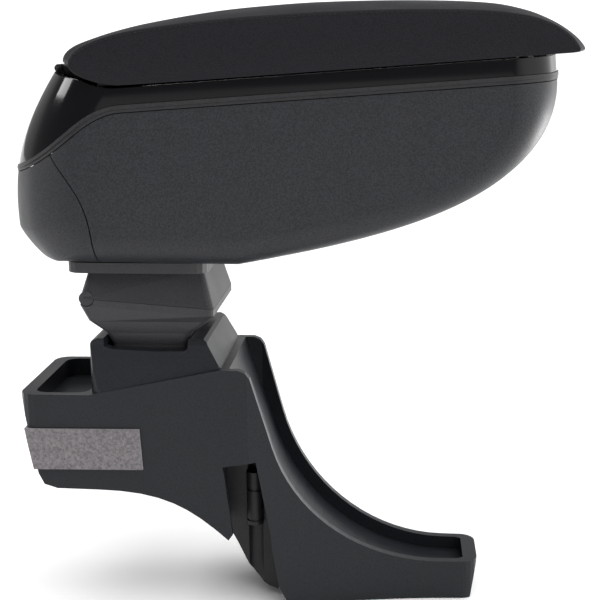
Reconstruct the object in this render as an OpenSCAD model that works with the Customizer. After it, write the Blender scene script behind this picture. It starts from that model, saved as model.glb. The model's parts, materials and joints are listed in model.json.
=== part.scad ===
// Car centre armrest: a clamped console base with trays, a two-piece neck that
// tilts, a storage box, and a padded lid that opens and slides.
// X points to the front of the car, Z up; the origin is on the underside of the foot.

/* [Base] */
// Height of the foot's front rim
foot_h = 23.5; // [20:0.5:34]
// Distance from the origin to the front face of the foot
foot_front = 60; // [50:1:90]
// Distance from the origin back to the heel of the foot
foot_heel = 54.5; // [46:0.5:58]
// Distance from the origin to the rear face of the base
base_rear = 208.5; // [200:0.5:230]
// Width of the base at the rear tray and the post
base_w = 86; // [82:1:100]
// Width of the foot at its front end
foot_w = 42; // [34:1:56]
// Height of the rear tray's rim
tray_z = 132; // [128:0.5:136]
// Depth of the rear tray
tray_depth = 11; // [6:0.5:13]
// Height of the ledge in front of the post
ledge_z = 147.5; // [144:0.5:150]
// Radius of the sweep from the ledge down to the foot
sweep_r = 105; // [95:1:112]
// Depth of the front trough below its rim
trough_depth = 8; // [5:0.5:10]
// Width of the rim round the trays
rim_w = 5; // [3.5:0.5:7]
// Moulded wall of the base
base_wall = 3; // [2.5:0.1:3.5]
// Height of the rear body's underside
belly_z = 74.5; // [70:0.5:78]
// Thickness of the felt strip
felt_t = 1.6; // [1:0.1:3]
// Height of the felt strip
felt_h = 25; // [15:1:30]

/* [Post] */
// Height of the post's rim
post_z = 164; // [160:0.5:168]
// Width of the post at its rim
post_w = 76; // [74:0.5:80]
// Depth of the dip in the side of the rim
post_dip = 6; // [3:0.5:9]
// Clearance between the neck's stem and the collar of the post
stem_gap = 2.6; // [1.5:0.1:3.2]

/* [Neck] */
// Length of the neck along its ridge
ridge_len = 77; // [72:0.5:84]
// Width of the neck at its ridge
ridge_w = 79; // [76:0.5:84]
// Width of the neck's stem
stem_w = 60; // [56:0.5:64]
// Height of the tilt axis
tilt_z = 188; // [184:0.5:192]
// Height of the neck's upper half above the tilt axis
neck_rise = 15.75; // [13:0.25:20]
// Radius of the tilt pin
pin_r = 2.5; // [2:0.1:2.8]
// Radius of the rolled ends round the tilt pin
knuckle_r = 4.2; // [4:0.1:5]
// Sheet thickness of the hinge brackets
bracket_t = 2.5; // [2:0.1:3]
// Radius of the bolts in the neck
bolt_r = 2.5; // [2:0.1:3]

/* [Box] */
// Nose-up angle of the box
box_tilt = 4.2; // [2:0.1:6]
// Distance from the reference point to the front of the box
box_front = 240.5; // [225:0.5:255]
// Distance from the reference point to the rear of the box
box_rear = 81.6; // [76:0.2:88]
// Width of the box
box_w = 122; // [116:1:132]
// Rounding of the box's long edges
box_round = 16; // [12:0.5:20]
// Moulded wall of the box
box_wall = 3; // [2.4:0.1:3.4]
// Height of the gloss band
gloss_h = 8.7; // [7:0.1:11]
// Height of the grey trim strip
trim_h = 4.3; // [3:0.1:6]
// Height of the storage tub
tub_h = 79; // [70:1:90]
// Room for the bolts and nuts between the tub and the box's underside
bolt_room = 19.5; // [18:0.5:26]

/* [Lid] */
// Width of the padded lid
lid_w = 126; // [120:1:136]
// Overhang of the lid past the front of the box
lid_overhang = 13; // [8:0.5:20]
// Height of the padded lid
lid_h = 36.5; // [32:0.5:42]
// Thickness of the cover
cover_t = 1.5; // [1:0.1:2]
// Length of the sliding shoes
shoe_len = 30; // [20:1:36]
// Travel of the lid along its rails
slide_travel = 50; // [30:1:55]
// Play between the shoes and the rails
slide_gap = 0.3; // [0.2:0.05:0.5]

/* [Hidden] */
$fn = 32;

plastic = [0.14, 0.14, 0.15];
dark_plastic = [0.1, 0.1, 0.11];
gloss = [0.03, 0.03, 0.035];
trim_grey = [0.25, 0.25, 0.26];
felt_grey = [0.5, 0.48, 0.49];
steel = [0.62, 0.63, 0.65];
fabric = [0.12, 0.12, 0.13];
foam = [0.75, 0.73, 0.62];
rubber = [0.07, 0.07, 0.07];

// Curves and outlines

function mix(a, b, t) = a + (b - a) * t;
function bez(p, t) =
    pow(1 - t, 3) * p[0] + 3 * t * pow(1 - t, 2) * p[1]
    + 3 * t * t * (1 - t) * p[2] + pow(t, 3) * p[3];
// Points of a curve, with its first point and without its last
function curve(p, n) = [for (i = [0:n - 1]) bez(p, i / n)];
function arc(c, r, a, b, n) = [for (i = [0:n]) c + r * [cos(mix(a, b, i / n)), sin(mix(a, b, i / n))]];
function rounded(x0, x1, y, r, n = 3) = concat(
    arc([x1 - r, y - r], r, 0, 90, n),
    arc([x0 + r, y - r], r, 90, 180, n),
    arc([x0 + r, r - y], r, 180, 270, n),
    arc([x1 - r, r - y], r, 270, 360, n));

// A side outline in X and Z, drawn out across the car
module across(outline, width)
    rotate([90, 0, 0]) linear_extrude(width, center = true) polygon(outline);

// A plan outline in X and Y, drawn out upwards from a height
module upwards(outline, z0, z1)
    translate([0, 0, z0]) linear_extrude(z1 - z0) polygon(outline);

// A closed skin through rings of points, each ring the same way round
module skin(rings) {
    n = len(rings[0]);
    last = len(rings) - 1;
    polyhedron(
        points = [for (ring = rings) for (p = ring) p],
        faces = concat(
            [[for (i = [0:n - 1]) i]],
            [for (k = [0:last - 1]) for (i = [0:n - 1])
                [k * n + i, (k + 1) * n + i, (k + 1) * n + (i + 1) % n, k * n + (i + 1) % n]],
            [[for (i = [n - 1:-1:0]) last * n + i]]));
}

// A convex body through rings of points, joined ring by ring
module swell(rings)
    for (k = [0:len(rings) - 2])
        hull() polyhedron(points = concat(rings[k], rings[k + 1]),
            faces = [[for (i = [0:len(rings[k]) - 1]) i],
                [for (i = [0:len(rings[k]) - 1]) len(rings[k]) + i]]);

// Base: a moulded shell, open below

half_base = base_w / 2;
// Where the ledge ends and the sweep starts
ledge_x = -75.6;
sweep_x = ledge_x + 114.6;
sweep_c = [sweep_x, foot_h + sweep_r];
sweep_end = 196;
// Front face and rear face of the post at its rim, and the front face at the ledge
post_front = -99;
post_rear = -167;
post_toe = -90;
// The rear body's heel, where the slot starts
heel = [-88, 44];
// Inner faces of the pocket that takes the clamp core
pocket_x0 = -90.5;
pocket_x1 = -foot_heel - base_wall;
slot_top_z = 90;
belly_x = -188;
rear_lean = 11.5;
corner_r = 9;

function sweep(grow, n) = arc(sweep_c, sweep_r + grow, 270, sweep_end, n);
function sweep_top(grow) =
    let (p = sweep_c + (sweep_r + grow) * [cos(sweep_end), sin(sweep_end)],
        run = [-sin(sweep_end - 180), cos(sweep_end - 180)])
    p + run * (ledge_z - grow - p[1]) / run[1];
function foot_end(z) = foot_front - 4 * (1 - z / foot_h);
function rear_face(z) = -base_rear + rear_lean * (tray_z - z) / (tray_z - belly_z);

// Half width of the base in plan
function half_at(x) = foot_w / 2 + (half_base - foot_w / 2)
    * pow(max(0, min(1, (foot_front - x) / (foot_front - ledge_x))), 2);
function plan(grow, n = 12) =
    let (side = [for (i = [0:n]) let (x = mix(foot_front - corner_r, ledge_x, i / n))
            [x, half_at(x) + grow]],
        front = arc([foot_front + grow - corner_r, half_at(foot_front) + grow - corner_r],
            corner_r, 0, 75, 4),
        rear = arc([-base_rear - grow + corner_r, half_base + grow - corner_r], corner_r, 90, 180, 4),
        left = concat(front, side, rear))
    concat(left, [for (i = [len(left) - 1:-1:0]) [left[i][0], -left[i][1]]]);

belly = [[belly_x + 23, belly_z], [-125, belly_z - 0.5], [-110, 64], heel];

function side(grow) = concat(
    [[rear_face(tray_z) - grow, tray_z], [rear_face(84) - grow, 84], [rear_face(78) + 2 - grow, 77.5],
        [belly_x, belly_z + 0.5]],
    curve(belly, 8),
    [heel, heel + [2.6, 3.5], [pocket_x0, slot_top_z - 0.7], [-71.4, slot_top_z + 2.2],
        [-63.7, 47.3], [-62.7, 36.9], [-foot_heel - 4.5, 13], [-foot_heel, 3],
        [-foot_heel + 1.5, 0], [foot_end(0), 0], [foot_end(foot_h), foot_h]],
    sweep(0, 18),
    [sweep_top(0) + [1.5, -5], sweep_top(0) + [-1, -1.6], sweep_top(0) + [-5, 0], [post_toe - 2, ledge_z],
        [post_rear, tray_z]]);

module base_block(grow = 0) {
    intersection() {
        across(side(grow), base_w + 20);
        upwards(plan(grow), -1, ledge_z + 1);
    }
}

module post_block()
    intersection() {
        across([[post_rear, tray_z - 30], [post_rear, post_z - 4], [post_rear + 1.2, post_z - 1.2],
            [post_rear + 4, post_z], [post_front - 2, post_z], [post_front, post_z - 1.5],
            [post_toe, ledge_z - 1.5], [post_toe, tray_z - 30]], base_w + 20);
        upwards(rounded(post_rear, post_toe, half_base, 8, 4), tray_z - 40, post_z + 1);
        rotate([90, 0, 90]) linear_extrude(400, center = true)
            polygon([[-half_base, tray_z - 40], [half_base, tray_z - 40], [half_base, tray_z],
                [post_w / 2 + 0.5, post_z - 3], [post_w / 2 - 2.5, post_z],
                [-post_w / 2 + 2.5, post_z], [-post_w / 2 - 0.5, post_z - 3], [-half_base, tray_z]]);
    }

// Stem of the neck and the collar that takes it
stem_x0 = -155.4;
stem_x1 = -111.5;
collar_x0 = stem_x0 - stem_gap;
collar_x1 = stem_x1 + stem_gap;
collar_half = stem_w / 2 + stem_gap;
collar_floor = 128;
bolt_xs = [stem_x0 + 12, stem_x1 - 12];
bolt_half = 13;

module at_bolts(z) for (x = bolt_xs) for (y = [-bolt_half, bolt_half]) translate([x, y, z]) children();

// Hollow below the trays, and the walls across it
module base_hollow() {
    in = base_wall;
    floor_z = tray_z - tray_depth - in;
    deep = trough_depth + in;
    intersection() {
        across(concat(
            [[rear_face(floor_z) + in, floor_z], [rear_face(60) + in, 60], [rear_face(60) + in, -20],
                [foot_end(0) - in, -20], [foot_end(foot_h) - in, foot_h - deep]],
            sweep(deep, 14),
            [sweep_top(deep) + [-2, 0], [post_toe - in, ledge_z - deep], [post_front - in, ledge_z - deep],
                [post_front - in, floor_z]]), base_w);
        upwards(plan(-in), -30, ledge_z);
    }
    translate([collar_x0, -collar_half, floor_z - 1])
        cube([collar_x1 - collar_x0, 2 * collar_half, collar_floor - in - floor_z + 1]);
}

module rear_tray_cut() {
    translate([0, 0, tray_z - tray_depth])
        linear_extrude(40) polygon(rounded(-base_rear + rim_w + 3, post_rear - 2, half_base - rim_w, 7, 4));
}

module trough_cut() {
    intersection() {
        across(concat(
            [[foot_front - rim_w - 2, foot_h + 30], [foot_front - rim_w - 4, foot_h - trough_depth]],
            sweep(trough_depth, 18),
            [sweep_top(trough_depth) + [-2.5, 0.5], sweep_top(0) + [-10.5, 0.5],
                [sweep_x, ledge_z + 10]]), base_w);
        upwards(plan(-rim_w), -1, ledge_z + 2);
    }
}

// Short ribs under the tray floor, a wall at each end of the core's pocket, and ribs in the foot
rib_drop = 14;
foot_rib_x = [-base_wall / 2, 24];
pocket_wall_z = 62;
module rib(x, z0, z1)
    let (inside = half_at(x) - base_wall + 0.2)
    translate([x, -inside, z0]) cube([base_wall, 2 * inside, z1 - z0]);

module base_ribs() {
    floor_z = tray_z - tray_depth - base_wall;
    for (x = [post_rear + 2, -136]) rib(x, floor_z - rib_drop, floor_z + 0.5);
    rib(pocket_x0 - base_wall, heel[1] + 6, floor_z + 2);
    rib(pocket_x1, 0, pocket_wall_z);
    for (x = foot_rib_x) rib(x, 0, foot_h - trough_depth + 2);
}

module base_body()
    color(plastic) difference() {
        union() {
            difference() {
                union() {
                    base_block();
                    post_block();
                }
                base_hollow();
            }
            intersection() {
                base_block();
                base_ribs();
            }
        }
        rear_tray_cut();
        trough_cut();
        translate([collar_x0, -collar_half, collar_floor])
            cube([collar_x1 - collar_x0, 2 * collar_half, 60]);
        across([[collar_x0 - 1.5, post_z + 1], [collar_x0 + 0.4, post_z - post_dip + 1.5],
            [collar_x0 + 6, post_z - post_dip + 0.4], [-130, post_z - post_dip - 0.6],
            [collar_x1 - 3, post_z - post_dip - 0.4], [collar_x1 - 1, post_z - post_dip + 1],
            [collar_x1 - 1, post_z + 1]], base_w + 4);
        at_bolts(collar_floor - base_wall - 1) cylinder(r = bolt_r + 0.2, h = base_wall + 2);
    }

// Core that hangs in the console, seen through the side slots: a cup, open at its top
core_half = 22;
core_top = 106;
core_rear = 80;
sleeve_r = 5;
sleeve_x = -74;
sleeve_y = core_half + 2.5;
sleeve_z = 48;
sleeve_h = 33;
screw_r = 2.2;
screw_len = 11;
ring_r = 0.7;

module clamp_core()
    color(dark_plastic) difference() {
        across(concat([[-core_rear, core_top], [pocket_x0, core_top], [pocket_x0, heel[1]]],
            curve([[-core_rear - 8.2, 40], [-core_rear, 26], [-core_rear + 3, 8],
                [pocket_x1 - 3.5, 4]], 8),
            [[pocket_x1 - 3.5, 4], [pocket_x1, 20], [pocket_x1, 50], [-63, 64]]), 2 * core_half);
        across([[-core_rear - 2, core_top + 1], [pocket_x0 + base_wall, core_top + 1],
            [pocket_x0 + base_wall, 46], [-core_rear + 2, 27], [-core_rear + 7, 14],
            [pocket_x1 - 3.5, 8], [pocket_x1 - base_wall, 50], [-66, 64]],
            2 * core_half - 2 * base_wall);
        for (s = [-1, 1]) translate([sleeve_x, s * sleeve_y, 0])
            cylinder(r = sleeve_r + 0.02, h = core_top + 1);
    }

// Ringed sleeves in the core's grooves, each with a screw hole from below
module clamp_sleeves()
    color(dark_plastic) for (s = [-1, 1])
        translate([sleeve_x, s * sleeve_y, sleeve_z]) difference() {
            cylinder(r = sleeve_r, h = sleeve_h);
            for (z = [3, sleeve_h - 11]) translate([0, 0, z])
                rotate_extrude() translate([sleeve_r, 0]) circle(ring_r);
            translate([0, 0, -1]) cylinder(r = screw_r, h = screw_len + 1);
        }

module felt_strip()
    color(felt_grey) difference() {
        intersection() {
            base_block(felt_t);
            across([[-base_rear - 10, 87], [-137, 87.6], [-138.4, 87 + felt_h],
                [-base_rear - 10, 86.4 + felt_h]], base_w + 10);
        }
        base_block();
        base_hollow();
    }

// Neck: two hollow halves that part along the ridge, with the tilt axis at its rear

ridge_x0 = -171.3;
tilt_x = ridge_x0 + knuckle_r - 0.1;
ridge_fall = 4.4;
plate_t = 6;
neck_top = tilt_z + neck_rise;
neck_wall = 2.8;
split_gap = 0.2;

function ridge_z(x) = tilt_z - (x - tilt_x) * tan(ridge_fall);
// A ring of the neck: x0 to x1, half width, and a height or the ridge's slope
function neck_ring(x0, x1, half, z, r = 3) = [for (p = rounded(x0, x1, half, r))
    [p[0], p[1], z == undef ? ridge_z(p[0]) : z]];
function lowered(ring, dz) = [for (p = ring) p + [0, 0, dz]];

ridge_x1 = ridge_x0 + ridge_len;
ridge_half = ridge_w / 2;

module tilt_round(r, y0, y1)
    translate([tilt_x, y0, tilt_z]) rotate([-90, 0, 0]) cylinder(r = r, h = y1 - y0);

module neck_lower()
    color(dark_plastic) difference() {
        skin([
            neck_ring(stem_x0, stem_x1, stem_w / 2, collar_floor),
            neck_ring(stem_x0, stem_x1, stem_w / 2, post_z - 5),
            neck_ring(stem_x0 - 3, stem_x1 + 3, stem_w / 2 + 2, post_z + 2.5),
            neck_ring(ridge_x0 + 3.5, ridge_x1 - 3.5, ridge_half - 4, tilt_z - 14, 4),
            lowered(neck_ring(ridge_x0, ridge_x1, ridge_half), -split_gap - 4),
            lowered(neck_ring(ridge_x0, ridge_x1, ridge_half), -split_gap)]);
        skin([
            neck_ring(stem_x0 + neck_wall, stem_x1 - neck_wall, stem_w / 2 - neck_wall,
                collar_floor + neck_wall),
            neck_ring(stem_x0 + neck_wall, stem_x1 - neck_wall, stem_w / 2 - neck_wall, post_z - 2),
            neck_ring(ridge_x0 + 4 + neck_wall, ridge_x1 - 4 - neck_wall, ridge_half - 5 - neck_wall,
                tilt_z - 12, 3),
            neck_ring(ridge_x0 + neck_wall, ridge_x1 - neck_wall, ridge_half - neck_wall, tilt_z + 8)]);
        tilt_round(knuckle_r + 0.4, -ridge_half - 1, ridge_half + 1);
        translate([ridge_x0 - 1, -ridge_half - 1, tilt_z - 3.5]) cube([4.2, ridge_w + 2, 8]);
        at_bolts(collar_floor - 1) cylinder(r = bolt_r + 0.2, h = neck_wall + 2);
    }

module neck_upper()
    color(dark_plastic) {
        difference() {
            union() {
                skin([
                    neck_ring(ridge_x0 + 0.2, ridge_x1, ridge_half),
                    neck_ring(ridge_x0 + 4.6, ridge_x1 - 6, ridge_half - 5.5, neck_top)]);
                tilt_round(knuckle_r, -ridge_half + 0.5, ridge_half - 0.5);
            }
            skin([
                lowered(neck_ring(ridge_x0 + neck_wall + 7.6, ridge_x1 - neck_wall,
                    ridge_half - neck_wall), -8),
                neck_ring(ridge_x0 + neck_wall + 8.4, ridge_x1 - neck_wall - 5.4,
                    ridge_half - neck_wall - 5, neck_top - neck_wall)]);
            tilt_round(pin_r + 0.05, -ridge_half + 2, ridge_half - 2);
            for (s = [-1, 1]) translate([0, s * ear_mid, 0]) {
                across([[tilt_x - 0.4, tilt_z - 8], [tilt_x - 0.4, tilt_z],
                    [tilt_x + 2, neck_top - neck_wall], [ridge_x0 + 12, neck_top - neck_wall],
                    [ridge_x0 + 12, tilt_z - 8]], ear_room);
                tilt_round_at(knuckle_r + 0.4, 0, ear_room);
            }
            at_bolts(neck_top - neck_wall - 1) cylinder(r = bolt_r + 0.2, h = neck_wall + 2);
        }
    }

// Brackets: sheet steel, each with two ears on the tilt pin
ear_in = 23.5;
washer_t = 0.6;
ear_out = ear_in + bracket_t + washer_t + 0.1;
ear_room = 2 * bracket_t + washer_t + 1.6;
ear_mid = ear_in + ear_room / 2 - 0.8;

module bracket_plate(z, x0, half)
    difference() {
        translate([x0, -half, z]) cube([stem_x1 - 4.5 - x0, 2 * half, bracket_t]);
        at_bolts(z - 1) cylinder(r = bolt_r + 0.2, h = bracket_t + 2);
    }

module lower_bracket() {
    z0 = collar_floor + neck_wall;
    foot_x = stem_x0 + neck_wall + 1;
    color(steel) {
        bracket_plate(z0, foot_x, ear_in + bracket_t);
        for (s = [-1, 1]) difference() {
            union() {
                translate([0, s * (ear_in + bracket_t / 2), 0])
                    across([[foot_x, z0], [foot_x + 26, z0], [foot_x + 26, z0 + 8], [foot_x + 12, z0 + 26],
                        [tilt_x + knuckle_r + 3, tilt_z - 9], [tilt_x + knuckle_r, tilt_z], [tilt_x, tilt_z],
                        [tilt_x + 1.8, tilt_z - 4.5], [tilt_x + 4.5, tilt_z - 13],
                        [foot_x, z0 + 30]], bracket_t);
                tilt_round_at(knuckle_r, s * (ear_in + bracket_t / 2), bracket_t);
            }
            tilt_round(pin_r, -ridge_half, ridge_half);
        }
    }
}

module tilt_round_at(r, mid, width)
    translate([tilt_x, mid, tilt_z]) rotate([90, 0, 0]) cylinder(r = r, h = width, center = true);

module upper_bracket() {
    z0 = neck_top - neck_wall - bracket_t;
    back = ridge_x0 + neck_wall + 9.5;
    color(steel) {
        bracket_plate(z0, back, ear_out + bracket_t);
        for (s = [-1, 1]) difference() {
            union() {
                translate([0, s * (ear_out + bracket_t / 2), 0])
                    across([[back, z0 + bracket_t], [back, z0], [back + 12, z0], [tilt_x + knuckle_r, tilt_z],
                        [tilt_x + 0.3, tilt_z + 3], [tilt_x + 2.6, z0 + bracket_t]], bracket_t);
                tilt_round_at(knuckle_r, s * (ear_out + bracket_t / 2), bracket_t);
            }
            tilt_round(pin_r + 0.05, -ridge_half, ridge_half);
        }
    }
}

module tilt_pin() color(steel) tilt_round(pin_r, -ridge_half + 2.5, ridge_half - 2.5);

module friction_washers()
    color(steel) for (s = [-1, 1]) difference() {
        tilt_round_at(knuckle_r - 0.2, s * (ear_in + bracket_t + washer_t / 2), washer_t);
        tilt_round(pin_r + 0.02, -ridge_half, ridge_half);
    }

nut_h = 4;
head_h = 3;
module hex_nut(h = nut_h)
    difference() {
        cylinder(r = 1.9 * bolt_r, h = h, $fn = 6);
        translate([0, 0, -1]) cylinder(r = bolt_r, h = h + 2);
    }

module neck_bolts()
    color(steel) at_bolts(collar_floor - base_wall - head_h) {
        cylinder(r = 1.8 * bolt_r, h = head_h);
        cylinder(r = bolt_r, h = head_h + base_wall + neck_wall + bracket_t + nut_h + 2);
    }

module neck_nuts() color(steel) at_bolts(collar_floor + neck_wall + bracket_t) hex_nut();

// Box: one convex form, cut into its panels

box_x = -139.5;
box_drop = tub_h + bolt_room;
box_z = neck_top + plate_t + box_drop * cos(box_tilt);
// Centre and half sizes that the box's rings shrink about
cu = 80;
half_u = (box_front + box_rear) / 2;
half_v = (box_drop + 13.5) / 2;
cv = 11 - half_v;
half_box = box_w / 2;
floor_u0 = -58;
floor_u1 = 50;
// Height of the box's underside along its length, level with the ground
function under(u) = -box_drop - u * tan(box_tilt);

module in_box() translate([box_x, 0, box_z]) rotate([0, -box_tilt, 0]) children();

function box_outline(n) = concat(
    curve([[-45.2, 13], [-70, -19], [-box_rear, -45], [-box_rear, -75]], n),
    curve([[-box_rear, -75], [-box_rear, under(floor_u0) + 8], [floor_u0 - 14, under(floor_u0)],
        [floor_u0, under(floor_u0)]], n),
    [[floor_u0, under(floor_u0)]],
    curve([[floor_u1, under(floor_u1)], [146, -box_drop - 0.5], [box_front, -66], [box_front, -13]], 2 * n),
    [[box_front, -13], [box_front - 1, 13]]);

// One ring of the box, at the angle a round its long edge
function box_ring(s, a, flank, n) =
    let (d = s + box_round * (1 - sin(a)), y = half_box - s - box_round * (1 - cos(a)))
    [for (p = box_outline(n)) [
        cu + (p[0] - cu) * (1 - d / half_u),
        flank * y,
        cv + (p[1] - cv) * (1 - d / half_v)]];

module box_form(s, n = 8, steps = 5)
    swell(concat(
        [for (i = [0:steps]) box_ring(s, 90 * i / steps, -1, n)],
        [for (i = [steps:-1:0]) box_ring(s, 90 * i / steps, 1, n)]));

// Ends of the panels' lines, well clear of the box
ahead = box_front + 60;
behind = -box_rear - 40;
below = -box_drop - 42;

// The lines that part the panels, from front to rear
lip_v = -1;
gloss_v = lip_v - gloss_h;
trim_v = gloss_v - trim_h;
gloss_line = concat([[ahead, gloss_v]],
    curve([[0, gloss_v], [-26, gloss_v], [-38, -36], [-76, -41]], 10), [[-76, -41], [behind, -50]]);
trim_line = concat([[ahead, trim_v]],
    curve([[0, trim_v], [-24, trim_v], [-36, -40], [-77, -45]], 10), [[-77, -45], [behind, -54]]);
lip_line = concat([[ahead, lip_v], [0, lip_v]], curve([[0, lip_v], [-12, lip_v], [-16, 3], [-22, 4.6]], 4),
    [[-22, 4.6], [-46, 10.2], [behind, 28]]);
seam = concat(curve([[-44, -30], [-36, -48], [-24, -54], [-23.5, -84]], 6), [[-23.5, -84], [-22.8, below]]);
function reversed(line) = [for (i = [len(line) - 1:-1:0]) line[i]];
function shifted(line, d) = [for (p = line) p + d];

module panel(line_top, line_low) across(concat(line_top, reversed(line_low)), box_w + 20);

module outer_shell()
    color(plastic) in_box() difference() {
        intersection() {
            box_form(0);
            across(concat([[ahead, below]], trim_line, [[behind, below]]), box_w + 20);
            across(concat([[ahead, 0], [-44, 0]], shifted(seam, [0.3, 0]), [[ahead, below]]), box_w + 20);
        }
        box_form(box_wall, 6, 3);
        bolt_holes();
    }

module rear_cover()
    color(plastic) in_box() difference() {
        intersection() {
            box_form(0);
            across(concat([[ahead, below]], trim_line, [[behind, below]]), box_w + 20);
            across(concat([[behind, 0], [-44, 0]], shifted(seam, [-0.3, 0]), [[behind, below]]), box_w + 20);
        }
        box_form(box_wall, 6, 3);
        bolt_holes();
    }

module trim_rim()
    color(trim_grey) in_box() difference() {
        intersection() {
            box_form(-0.7);
            panel(shifted(gloss_line, [0, -0.1]), shifted(trim_line, [0, 0.1]));
        }
        box_form(box_wall, 6, 3);
    }

// Front opening for the button
button_w = 32;
button_h = 6;
button_v = -6.5;

lid_pivot = [-43.5, 11.6];
lid_knuckle = 2.8;
lid_pin_r = 1.2;
leaf_half = half_box - box_wall - box_round;
arm_w = 16;
arm_y = leaf_half - arm_w;
arm_gap = 0.3;

module lid_round(r, y0, y1)
    translate([lid_pivot[0], y0, lid_pivot[1]]) rotate([-90, 0, 0]) cylinder(r = r, h = y1 - y0);

module gloss_frame()
    color(gloss) in_box() difference() {
        intersection() {
            box_form(0);
            panel(lip_line, gloss_line);
        }
        difference() {
            box_form(box_wall, 6, 3);
            across([[ahead, lip_v], [0, lip_v], [0, lip_v - 2], [ahead, lip_v - 2]], box_w);
        }
        box_form_open();
        translate([mouth_u, -button_w / 2 - 0.4, button_v - button_h / 2 - 0.4])
            cube([40, button_w + 0.8, button_h + 0.8]);
        lid_round(lid_knuckle + 0.4, -leaf_half - 0.5, leaf_half + 0.5);
        translate([striker_u - 3, -7, lip_v - 3]) cube([5.5, 14, 6]);
    }

// Front edge of the box's mouth, behind the latch
mouth_u = box_front - 26;

// Mouth of the box inside the lip
module box_form_open()
    intersection() {
        box_form(box_wall + 8, 6, 3);
        across([[mouth_u, 20], [-box_rear, 20], [-box_rear, -20], [mouth_u, -20]], box_w);
    }

module storage_tub()
    color(dark_plastic) in_box() difference() {
        intersection() {
            box_form(box_wall + 3, 6, 3);
            across([[mouth_u, lip_v - 2.1], [-34, lip_v - 2.1], [-34, lip_v - tub_h],
                [mouth_u, lip_v - tub_h]], box_w);
        }
        intersection() {
            box_form(box_wall + 5, 6, 3);
            across([[mouth_u - 2, 10], [-32, 10], [-32, lip_v - tub_h + 2],
                [mouth_u - 2, lip_v - tub_h + 2]], box_w);
        }
    }

module bottom_plate()
    color(dark_plastic) difference() {
        upwards(rounded(ridge_x0 - 5.7, ridge_x1 - 2.7, half_box - box_round - 1, 9, 4),
            neck_top, neck_top + plate_t - 0.02);
        at_bolts(neck_top - 1) cylinder(r = bolt_r + 0.2, h = plate_t + 2);
    }

module bolt_holes()
    rotate([0, box_tilt, 0]) translate([-box_x, 0, -box_z])
        at_bolts(neck_top) cylinder(r = bolt_r + 0.4, h = 20);

module head_bolts()
    color(steel) at_bolts(neck_top - neck_wall - bracket_t - head_h) {
        cylinder(r = 1.8 * bolt_r, h = head_h);
        cylinder(r = bolt_r, h = head_h + bracket_t + neck_wall + plate_t + box_wall + nut_h + 2);
    }

module head_nuts() color(steel) at_bolts(neck_top + plate_t + box_wall + 0.2) hex_nut();

// Lid hinge: a leaf inside the gloss frame, a pin, and the carrier's arms

leaf_t = 1.3;
// The rear wall's inner line, where the leaf lies against it
function leaf_line(s) = [for (i = [0, 1]) let (p = box_outline(6)[i])
    [cu + (p[0] - cu) * (1 - s / half_u), cv + (p[1] - cv) * (1 - s / half_v)]];

module hinge_leaf()
    color(steel) in_box() difference() {
        union() {
            for (span = [[-leaf_half, -arm_y - arm_w / 2 - arm_gap], [-arm_y + arm_w / 2 + arm_gap,
                    arm_y - arm_w / 2 - arm_gap], [arm_y + arm_w / 2 + arm_gap, leaf_half]])
                lid_round(lid_knuckle, span[0], span[1]);
            across(concat(leaf_line(box_wall + 0.3), reversed(leaf_line(box_wall + 0.3 + leaf_t))),
                2 * leaf_half);
        }
        for (s = [-1, 1]) translate([lid_pivot[0], s * arm_y, lid_pivot[1]]) rotate([90, 0, 0])
            cylinder(r = lid_knuckle + 2, h = arm_w + 2 * arm_gap, center = true);
        lid_round(lid_pin_r, -60, 60);
    }

module lid_pin() color(steel) in_box() lid_round(lid_pin_r, -leaf_half, leaf_half);

carrier_v = 0.6;
carrier_t = 2.8;
carrier_half = lid_w / 2 - 12;
carrier_front = box_front - 8;
rail_v = carrier_v + carrier_t;

module lid_carrier()
    color(dark_plastic) in_box() difference() {
        union() {
            translate([0, 0, carrier_v]) linear_extrude(carrier_t)
                polygon(rounded(-16, carrier_front, carrier_half, 14, 4));
            for (s = [-1, 1]) translate([0, s * arm_y, 0]) {
                across([[-10, carrier_v], [-18, carrier_v], lid_pivot + [-0.6, -lid_knuckle + 0.1],
                    lid_pivot + [1.2, lid_knuckle - 0.5], [-30.5, rail_v + 4.6], [-20, rail_v + 1.6],
                    [-10, rail_v]], arm_w);
                translate([lid_pivot[0], 0, lid_pivot[1]]) rotate([90, 0, 0])
                    cylinder(r = lid_knuckle, h = arm_w, center = true);
            }
        }
        lid_round(lid_pin_r + 0.05, -60, 60);
        for (x = [40:44:172]) translate([x, 0, 0]) cylinder(r = 12, h = 20, center = true);
    }

// Rails of an I section on the carrier, and the shoes that run on them
rail_x0 = 5;
shoe_pitch = 100;
rail_x1 = rail_x0 + shoe_pitch + shoe_len + slide_travel + 10;
rail_y = carrier_half - 15;
rail_foot = 16;
rail_web = 3;
rail_top = 8;
rail_t = 1.4;
rail_rise = 3.6;

module slide_rails()
    color(steel) in_box() for (s = [-1, 1]) translate([rail_x0, s * rail_y, rail_v]) {
        translate([0, -rail_foot / 2, 0]) cube([rail_x1 - rail_x0, rail_foot, rail_t]);
        translate([0, -rail_web / 2, rail_t]) cube([rail_x1 - rail_x0, rail_web, rail_rise - rail_t]);
        translate([0, -rail_top / 2, rail_rise]) cube([rail_x1 - rail_x0, rail_top, rail_t]);
    }

board_v = rail_v + rail_rise + rail_t + 0.6;
board_t = 3;
shoe_v = rail_v + rail_t + 0.5;

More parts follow.
